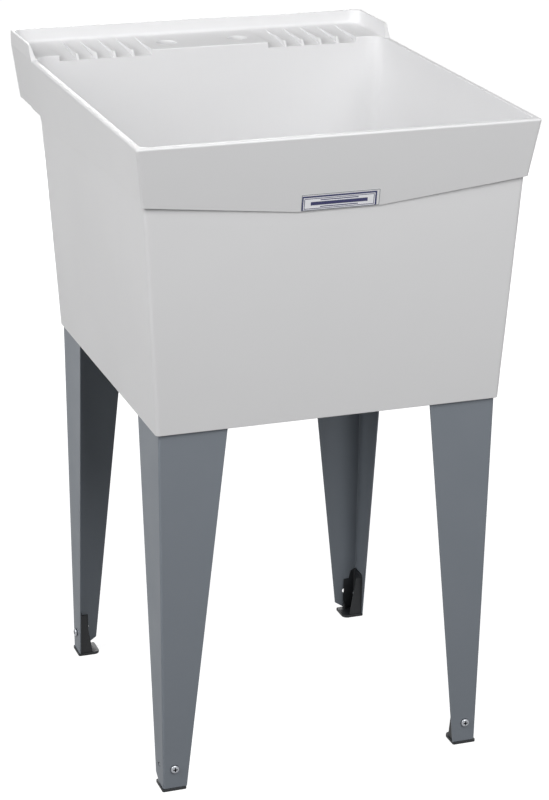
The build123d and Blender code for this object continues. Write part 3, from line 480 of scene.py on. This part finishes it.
wing_lift = add_node(tree, "ShaderNodeCombineXYZ", {}, {2: size["Head Height"]})
head = add_node(tree, "GeometryNodeMeshBoolean", {"operation": "DIFFERENCE"}, {"Mesh 1": pan})
for wing_size in (long_way, short_way):
    wing = add_node(tree, "GeometryNodeMeshCube", {}, {"Size": wing_size})
    tapered = add_node(
        tree, "GeometryNodeSetPosition", {}, {"Geometry": wing, "Position": narrowed}
    )
    raised = add_node(
        tree, "GeometryNodeTransform", {}, {"Geometry": tapered, "Translation": wing_lift}
    )
    # The wings carry the painted-shade zinc onto the recess's cut faces, so the recess reads dark as
    # shade.
    shade_painted_wing = add_node(
        tree, "GeometryNodeSetMaterial", {}, {"Geometry": raised, "Material": size["Painted Shade"]}
    )
    tree.links.new(shade_painted_wing.outputs[0], head.inputs["Mesh 2"])

whole = add_node(tree, "GeometryNodeJoinGeometry")
for part in (shank, head):
    tree.links.new(part.outputs[0], whole.inputs[0])
fold = add_node(tree, "GeometryNodeInputMeshEdgeAngle")
crease = add_node(
    tree, "ShaderNodeMath", {"operation": "LESS_THAN", 1: math.radians(38)}, {0: fold}
)
smooth = add_node(
    tree, "GeometryNodeSetShadeSmooth", {"domain": "EDGE"}, {0: whole, "Shade Smooth": crease}
)
turned_to = add_node(
    tree, "GeometryNodeInputNamedAttribute", {"data_type": "FLOAT_VECTOR", "Name": "turn"}
)
spin = add_node(tree, "FunctionNodeEulerToRotation", {}, {0: turned_to})
placed = add_node(
    tree, "GeometryNodeInstanceOnPoints", {},
    {"Points": size["Seats"], "Instance": smooth, "Rotation": spin},
)
real = add_node(tree, "GeometryNodeRealizeInstances", {}, {0: placed})
in_shade = add_node(tree, "GeometryNodeMaterialSelection", {}, {"Material": size["Painted Shade"]})
in_light = add_node(tree, "FunctionNodeBooleanMath", {"operation": "NOT"}, {0: in_shade})
finished = add_node(
    tree, "GeometryNodeSetMaterial", {},
    {"Geometry": real, "Selection": in_light, "Material": size["Finish"]},
)
add_node(tree, "NodeGroupOutput", {}, {0: finished})


def new_piece(name, mesh):
    """An object for a finished mesh, at the origin."""
    piece = bpy.data.objects.new(name, mesh)
    bpy.context.scene.collection.objects.link(piece)
    return piece


def grown_piece(name, group, seats, settings):
    """Runs a Geometry Nodes group on seats, (place, direction) pairs, and keeps the plain mesh."""
    seat_mesh = bpy.data.meshes.new(name + "_seats")
    seat_mesh.from_pydata([seat for seat, _ in seats], [], [])
    turn = seat_mesh.attributes.new("turn", "FLOAT_VECTOR", "POINT")
    for value, (_, direction) in zip(turn.data, seats):
        value.vector = Vector(direction).to_track_quat("Z", "Y").to_euler()
    host = new_piece(name + "_seats", seat_mesh)
    growth = host.modifiers.new("growth", "NODES")
    growth.node_group = group
    for item in group.interface.items_tree:
        if item.in_out == "INPUT" and item.name in settings:
            growth[item.identifier] = settings[item.name]
    grown = host.evaluated_get(bpy.context.evaluated_depsgraph_get())
    mesh = bpy.data.meshes.new_from_object(grown)
    host.modifiers.remove(growth)
    bpy.data.objects.remove(host)
    return new_piece(name, mesh)


leg_lean = 5 / 489              # the flanges lean in towards the floor by this share of their height
clamp_length = 0.01375
clamp_head_height = 0.0034
clamp_seats = []
for end in ends:
    low, high = (Vector(corner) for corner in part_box(f"clamp_screw_{end}"))
    side = -1 if "left" in end else 1
    outward = Vector((0, -1, 0)) if "front" in end else Vector((side, 0, 0))
    seat = (low + high) / 2 + outward * (clamp_length / 2 - clamp_head_height)
    clamp_seats.append((seat, outward - Vector((0, 0, leg_lean))))
clamp_screws = grown_piece(
    "clamp_screws", screw_tree, clamp_seats,
    {
        "Head Radius": 0.0056, "Head Height": clamp_head_height, "Shank Radius": 0.0025,
        "Shank Length": clamp_length - clamp_head_height, "Thread Pitch": 0.0008, "Thread Depth": 0.0005,
        "Cross Length": 0.0062, "Cross Width": 0.0017, "Cross Depth": 0.0020, "Finish": zinc_plate,
        "Painted Shade": zinc_shadowed,
    },
)
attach(clamp_screws, "sink")
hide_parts(*[f"clamp_screw_{end}" for end in ends])

tapping_head_radius = 0.0042
tapping_head_height = 0.0024
tapping_seats = []
for end in ends:
    low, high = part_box(f"leg_screws_{end}")
    across = [low[0] + tapping_head_radius, high[0] - tapping_head_radius]
    if end in ("front_left", "rear_right"):
        across.reverse()
    back_and_forth = (low[1] + tapping_head_radius, high[1] - tapping_head_radius)
    for x, y in zip(across, back_and_forth):
        tapping_seats.append(((x, y, low[2] + tapping_head_height), (0, 0, -1)))
tapping_screws = grown_piece(
    "tapping_screws", screw_tree, tapping_seats,
    {
        "Head Radius": tapping_head_radius, "Head Height": tapping_head_height, "Shank Radius": 0.002,
        "Shank Length": 0.0085, "Thread Pitch": 0.0014, "Thread Depth": 0.0005,
        "Cross Length": 0.0042, "Cross Width": 0.0009, "Cross Depth": 0.0013, "Finish": zinc_plate,
        "Painted Shade": zinc_shadowed,
    },
)
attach(tapping_screws, "sink")
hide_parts(*[f"leg_screws_{end}" for end in ends])

# ---------------------------------------------------------------------------------------------
# Clamp nuts: M5 hexagon nuts behind the feet's slots, pressed from steel and zinc plated, their
# corners chamfered on both faces.
# ---------------------------------------------------------------------------------------------


def turned_mesh(name, profile, steps, shape, material):
    """A ring turned round Z from a closed (radius, z) outline: shape(radius, angle, z) is its radius."""
    form = bmesh.new()
    rings = []
    for step in range(steps):
        angle = 2 * math.pi * step / steps
        ring = []
        for radius, z in profile:
            reach = shape(radius, angle, z)
            ring.append(form.verts.new((reach * math.cos(angle), reach * math.sin(angle), z)))
        rings.append(ring)
    for here, there in zip(rings, rings[1:] + rings[:1]):
        for a in range(len(profile)):
            b = (a + 1) % len(profile)
            form.faces.new((here[a], there[a], there[b], here[b]))
    bmesh.ops.recalc_face_normals(form, faces=form.faces)
    mesh = bpy.data.meshes.new(name)
    form.to_mesh(mesh)
    form.free()
    mesh.shade_smooth()
    mesh.set_sharp_from_angle(angle=math.radians(35))
    mesh.materials.append(material)
    return mesh


def hexagon(across_flats):
    """Cuts a turned outline back to six flats, with a corner on the X axis."""

    def shape(radius, angle, z):
        flat = across_flats / 2 / math.cos(angle % (math.pi / 3) - math.pi / 6)
        return min(radius, flat)

    return shape


nut_flats = 0.008
nut_corner = nut_flats / 2 / math.cos(math.pi / 6)
nut_thickness = 0.004
nut_depth = 0.00415             # from the flange's outside to the nut
nut_bore = 0.00256
nut_bevel = 0.0005
nut_lead_in = 0.0003
nut_form = bmesh.new()
for seat, direction in clamp_seats:
    single = turned_mesh(
        "clamp_nut",
        [
            (nut_bore + nut_lead_in, 0), (nut_flats / 2, 0), (nut_corner, nut_bevel),
            (nut_corner, nut_thickness - nut_bevel), (nut_flats / 2, nut_thickness),
            (nut_bore + nut_lead_in, nut_thickness), (nut_bore, nut_thickness - nut_lead_in),
            (nut_bore, nut_lead_in),
        ],
        48, hexagon(nut_flats), zinc_plate,
    )
    outward = Vector(direction).normalized()
    turn = outward.to_track_quat("Z", "Y").to_matrix().to_4x4()
    inner_face = Vector(seat) - outward * (nut_depth + nut_thickness)
    single.transform(Matrix.Translation(inner_face) @ turn)
    nut_form.from_mesh(single)
nut_mesh = bpy.data.meshes.new("clamp_nuts")
nut_form.to_mesh(nut_mesh)
nut_form.free()
nut_mesh.shade_smooth()
nut_mesh.set_sharp_from_angle(angle=math.radians(30))
nut_mesh.materials.append(zinc_plate)
clamp_nuts = new_piece("clamp_nuts", nut_mesh)
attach(clamp_nuts, "sink")
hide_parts(*[f"clamp_nut_{end}" for end in ends])

# ---------------------------------------------------------------------------------------------
# Drain body: a stainless steel flange pressed over a threaded shank, polished on the lathe, so
# that fine rings run round it. Its strainer disc is punched from the same sheet.
# ---------------------------------------------------------------------------------------------
drain_y = sum(corner[1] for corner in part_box("drain_body")) / 2
steel_bright = "#C9CBCE"
steel_dark = "#AEB1B5"
lathe_ring_width = 0.7

lathed_steel, tree, shader, place = new_material("lathe_polished_stainless", {"Metallic": 1.0})
on_axis = add_node(
    tree, "ShaderNodeMapping", {"Location": (0, -drain_y, 0)}, {"Vector": place}
)
flat_plan = add_node(
    tree, "ShaderNodeVectorMath", {"operation": "MULTIPLY", 1: (1, 1, 0)}, {0: on_axis}
)
from_axis = add_node(tree, "ShaderNodeVectorMath", {"operation": "LENGTH"}, {0: flat_plan})
ring_place = add_node(tree, "ShaderNodeCombineXYZ", {}, {0: from_axis.outputs["Value"]})
rings = add_node(
    tree, "ShaderNodeTexNoise", {"Scale": per_metre(lathe_ring_width), "Detail": 3.0},
    {"Vector": ring_place},
)
vary(tree, shader, rings, (steel_bright, steel_dark), (0.12, 0.3))
ring_cut = add_node(tree, "ShaderNodeBump", {"Strength": 0.15, "Distance": 0.00005}, {"Height": rings})
tree.links.new(ring_cut.outputs[0], shader.inputs["Normal"])
dress("drain_strainer", lathed_steel)

shank_thread_pitch = 0.0022
shank_thread_depth = 0.0009
shank_radius = 0.0239
shank_top = 0.4958
shank_end = 0.4601
thread_rows = 90
flange_radius = 0.0380
flange_top = 0.5077
flange_underside = 0.5051
mouth_radius = 0.0245
strainer_seat_radius = 0.0200
strainer_seat_height = 0.4937
waterway_radius = 0.0175
sliver = 0.0001                 # keeps the thread off the rows that close it


def threaded(radius, angle, z):
    """Sinks the outside of the shank along a right-hand helix below the floor."""
    if abs(radius - shank_radius) > sliver or z > shank_top:
        return radius
    phase = (z / shank_thread_pitch - angle / (2 * math.pi)) % 1.0
    return radius - shank_thread_depth * abs(2 * phase - 1)


drain_outline = [
    (mouth_radius, flange_top - 0.0002), (mouth_radius + 0.0004, flange_top),
    (flange_radius - 0.0012, flange_top), (flange_radius - 0.0004, flange_top - 0.0004),
    (flange_radius, flange_top - 0.0011), (flange_radius, flange_underside),
    (shank_radius, flange_underside), (shank_radius, shank_top + sliver),
]
drain_outline += [
    (shank_radius, shank_top + (shank_end - shank_top) * row / thread_rows)
    for row in range(thread_rows + 1)
]
drain_outline += [
    (shank_radius - 0.0011, shank_end), (waterway_radius, shank_end),
    (waterway_radius, strainer_seat_height), (strainer_seat_radius, strainer_seat_height),
    (strainer_seat_radius, flange_top - 0.0050),
]
drain_piece = new_piece(
    "drain_body_turned", turned_mesh("drain_body_turned", drain_outline, 96, threaded, lathed_steel)
)
drain_piece.data.transform(Matrix.Translation((0, drain_y, 0)))
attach(drain_piece, "sink")
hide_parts("drain_body")

# ---------------------------------------------------------------------------------------------
# Drain nuts and tailpiece: white polypropylene, moulded, a little creamy with a soft gloss. The
# locknut clamps the drain to the floor, the slip nut holds the tube's flange against the shank,
# and the tube runs on to the trap.
# ---------------------------------------------------------------------------------------------
nut_white = "#E3E3DF"
nut_white_shade = "#DAD9D3"
nut_cloud_size = 18.0
nut_flow_size = 3.0

nut_plastic, tree, shader, place = new_material("moulded_white_nut_plastic", {"IOR": 1.49})
cloud = add_node(
    tree, "ShaderNodeTexNoise", {"Scale": per_metre(nut_cloud_size), "Detail": 3.0}, {"Vector": place}
)
vary(tree, shader, cloud, (nut_white, nut_white_shade), (0.28, 0.42))
flow = add_node(
    tree, "ShaderNodeTexNoise", {"Scale": per_metre(nut_flow_size), "Detail": 2.0}, {"Vector": place}
)
nut_skin = add_node(tree, "ShaderNodeBump", {"Strength": 0.15, "Distance": 0.0001}, {"Height": flow})
tree.links.new(nut_skin.outputs[0], shader.inputs["Normal"])
dress("tailpiece", nut_plastic)

moulded_bevel = 0.0022           # where the flats' corners fall away to the faces
moulded_crest = 0.0005
moulded_rounding = 0.0004
moulded_trim = 0.0003
moulded_lead_in = 0.0006
for nut_name, flats, bottom, top, bore, lip_bore, lip in (
    ("drain_locknut", 0.062, 0.487, 0.496, 0.02396, 0.02396, 0.001),
    ("slip_nut", 0.058, 0.4519, 0.4761, 0.02396, 0.01965, 0.004),
):
    corner = flats / 2 / math.cos(math.pi / 6)
    rim_in, rim_out = flats / 2 - moulded_rounding, flats / 2 + moulded_rounding
    side, side_end = corner - moulded_trim, corner - 2 * moulded_trim
    low, high = bottom + moulded_bevel, top - moulded_bevel
    outline = [
        (lip_bore, bottom), (rim_in, bottom), (rim_out, bottom + moulded_trim),
        (side_end, low), (side, low + moulded_crest), (side, high - moulded_crest), (side_end, high),
        (rim_out, top - moulded_trim), (rim_in, top),
        (bore + moulded_lead_in, top), (bore, top - moulded_lead_in),
        (bore, bottom + lip), (lip_bore, bottom + lip),
    ]
    nut_piece = new_piece(
        nut_name + "_moulded",
        turned_mesh(nut_name + "_moulded", outline, 144, hexagon(flats), nut_plastic),
    )
    nut_piece.data.transform(Matrix.Translation((0, drain_y, 0)))
    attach(nut_piece, "sink")
    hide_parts(nut_name)

# ---------------------------------------------------------------------------------------------
# Rubber: a black gasket under the floor, a flat washer at the slip joint, and the stopper's
# moulded plug. The rubber is dull, with a thin grey bloom. The plug's knob is polished steel.
# ---------------------------------------------------------------------------------------------
rubber_black = "#202122"
rubber_bloom = "#37383A"
rubber_bloom_size = 9.0
rubber_pit_size = 0.7

black_rubber, tree, shader, place = new_material("moulded_black_rubber", {"IOR": 1.52})
bloom = add_node(
    tree, "ShaderNodeTexNoise", {"Scale": per_metre(rubber_bloom_size), "Detail": 4.0}, {"Vector": place}
)
vary(tree, shader, bloom, (rubber_black, rubber_bloom), (0.6, 0.8))
pitting = add_node(tree, "ShaderNodeTexNoise", {"Scale": per_metre(rubber_pit_size)}, {"Vector": place})
rubber_skin = add_node(
    tree, "ShaderNodeBump", {"Strength": 0.3, "Distance": 0.0001}, {"Height": pitting}
)
tree.links.new(rubber_skin.outputs[0], shader.inputs["Normal"])
for node_name in ("drain_gasket", "slip_washer", "stopper_plug"):
    dress(node_name, black_rubber)
dress("stopper_knob", lathed_steel)

# ---------------------------------------------------------------------------------------------
# Floor and light: large soft boxes above the front and the left, a weak one between them for the
# corners, a low card on the right, and two small boxes for the back and the right side. The camera
# sees the floor and the backdrop white, with a faint shadow.
# ---------------------------------------------------------------------------------------------
floor_mesh = bpy.data.meshes.new("studio_floor")
floor_reach = 6.0
floor_corners = [
    (x * floor_reach, y * floor_reach, 0) for x, y in ((-1, -1), (1, -1), (1, 1), (-1, 1))
]
floor_mesh.from_pydata(floor_corners, [], [(0, 1, 2, 3)])
floor = new_piece("studio_floor", floor_mesh)
floor_grey = "#484848"          # what the object's light meets
shadow_paper = "#A0A0A0"        # what the camera sees besides the glow, so that shadows show
glow_near_sink = 0.86
glow_far_off = 1.0
ambient_strength = 0.03
mirrored_white = 0.6


def seen_white(tree, rays):
    """How far a ray sees the set white: the camera's and glass's fully, reflections in part."""
    mirrored = add_node(
        tree, "ShaderNodeMath", {"operation": "MULTIPLY", 1: mirrored_white},
        {0: rays.outputs["Is Glossy Ray"]},
    )
    direct = add_node(
        tree, "ShaderNodeMath", {"operation": "MAXIMUM"},
        {0: rays.outputs["Is Camera Ray"], 1: rays.outputs["Is Transmission Ray"]},
    )
    return add_node(tree, "ShaderNodeMath", {"operation": "MAXIMUM"}, {0: mirrored, 1: direct})


floor_paint, tree, shader, place = new_material("floor_paint", {"Roughness": 0.9})
shader.inputs["Base Color"].default_value = linear(floor_grey)
rays = add_node(tree, "ShaderNodeLightPath")
paper = add_node(tree, "ShaderNodeBsdfDiffuse", {"Color": linear(shadow_paper)})
from_sink = add_node(tree, "ShaderNodeVectorMath", {"operation": "LENGTH"}, {0: place})
brightening = add_node(
    tree, "ShaderNodeMapRange",
    {"From Min": 0.5, "From Max": 1.8, "To Min": glow_near_sink, "To Max": glow_far_off},
    {"Value": from_sink.outputs["Value"]},
)
glow = add_node(tree, "ShaderNodeEmission", {"Color": (1, 1, 1, 1)}, {"Strength": brightening})
white = add_node(tree, "ShaderNodeAddShader", {}, {0: paper, 1: glow})
seen = seen_white(tree, rays)
mixed = add_node(tree, "ShaderNodeMixShader", {}, {0: seen, 1: shader, 2: white})
tree.links.new(mixed.outputs[0], tree.nodes["Material Output"].inputs["Surface"])
floor_mesh.materials.append(floor_paint)

world = bpy.data.worlds.new("studio")
bpy.context.scene.world = world
world.use_nodes = True
tree = world.node_tree
ambient = tree.nodes["Background"]
ambient.inputs["Color"].default_value = (1, 1, 1, 1)
ambient.inputs["Strength"].default_value = ambient_strength
backdrop = add_node(tree, "ShaderNodeBackground", {"Color": (1, 1, 1, 1), "Strength": 1.0})
rays = add_node(tree, "ShaderNodeLightPath")
seen = seen_white(tree, rays)
mixed = add_node(tree, "ShaderNodeMixShader", {}, {0: seen, 1: ambient, 2: backdrop})
tree.links.new(mixed.outputs[0], tree.nodes["World Output"].inputs["Surface"])

aim = Vector((0, 0, 0.6))       # the middle of the tub
lamp_distance = 3.0


def soft_box(name, azimuth, elevation, size, power):
    """A square lamp turned to the tub: azimuth 0 is straight in front, 90 off its right side."""
    azimuth, elevation = math.radians(azimuth), math.radians(elevation)
    level = lamp_distance * math.cos(elevation)
    place = aim + Vector(
        (level * math.sin(azimuth), -level * math.cos(azimuth), lamp_distance * math.sin(elevation))
    )
    lamp = bpy.data.lights.new(name, "AREA")
    lamp.shape = "SQUARE"
    lamp.size = size
    lamp.energy = power
    lamp_object = bpy.data.objects.new(name, lamp)
    lamp_object.location = place
    lamp_object.rotation_euler = (aim - place).to_track_quat("-Z", "Y").to_euler()
    bpy.context.scene.collection.objects.link(lamp_object)


soft_box("front_box", 9, 39, 2.0, 60)
soft_box("left_box", -84, 31, 2.4, 61)
soft_box("corner_box", -50, 35, 2.0, 10)
soft_box("low_card", 30, 10, 1.6, 5)
soft_box("back_box", 168, 4, 1.2, 34)
soft_box("right_box", 114, 4, 1.2, 28)

bpy.context.scene.view_settings.view_transform = "Standard"
